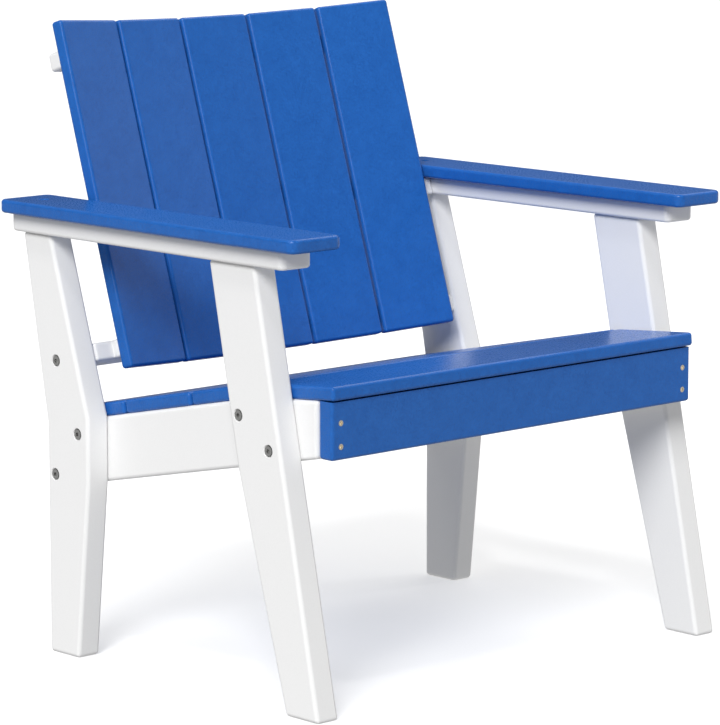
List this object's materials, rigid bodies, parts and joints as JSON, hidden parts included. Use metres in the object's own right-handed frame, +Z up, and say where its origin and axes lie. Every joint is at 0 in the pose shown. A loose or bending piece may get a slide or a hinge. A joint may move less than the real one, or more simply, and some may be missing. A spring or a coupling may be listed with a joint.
{
  "type": "adirondack chair",
  "caption": "Low garden lounge chair of flat boards, with wide arms, a raked seat, a curved slatted back and bolted legs.",
  "frame": {"origin": "on the ground, at the centre of the footprint of the whole chair", "axes": "+Z up, the chair faces -Y, +X to the right as one looks at its front; left and right in names are meant the same way, -X and +X"},
  "size_m": [0.778, 0.6488, 0.8418],
  "materials": {
    "white_board": "satin recycled plastic lumber, white",
    "blue_board": "satin recycled plastic lumber, blue",
    "stainless": "stainless steel",
    "dowel_wood": "plain beech"
  },
  "bodies": {
    "root": {"front_leg_left": "white_board", "front_leg_right": "white_board", "rear_leg_left": "white_board", "rear_leg_right": "white_board", "side_rail_left": "white_board", "side_rail_right": "white_board", "arm_rail_left": "white_board", "arm_rail_right": "white_board", "lower_back_rail": "white_board", "middle_back_rail": "white_board", "upper_back_rail": "white_board", "front_apron": "blue_board", "seat_slat_1": "blue_board", "seat_slat_2": "blue_board", "seat_slat_3": "blue_board", "seat_slat_4": "blue_board", "back_slat_1": "blue_board", "back_slat_2": "blue_board", "back_slat_3": "blue_board", "back_slat_4": "blue_board", "back_slat_5": "blue_board", "arm_board_left": "blue_board", "arm_board_right": "blue_board", "leg_bolts": "stainless", "leg_bolt_washers": "stainless", "leg_bolt_nuts": "stainless", "back_rail_bolts": "stainless", "back_rail_barrel_nuts": "stainless", "arm_bolts": "stainless", "arm_barrel_nuts": "stainless", "apron_screws": "stainless", "seat_screws": "stainless", "arm_board_screws": "stainless", "leg_top_screws": "stainless", "upper_rail_screws": "stainless", "middle_rail_screws": "stainless", "lower_rail_screws": "stainless", "middle_rail_dowels": "dowel_wood"}
  },
  "joints": []
}
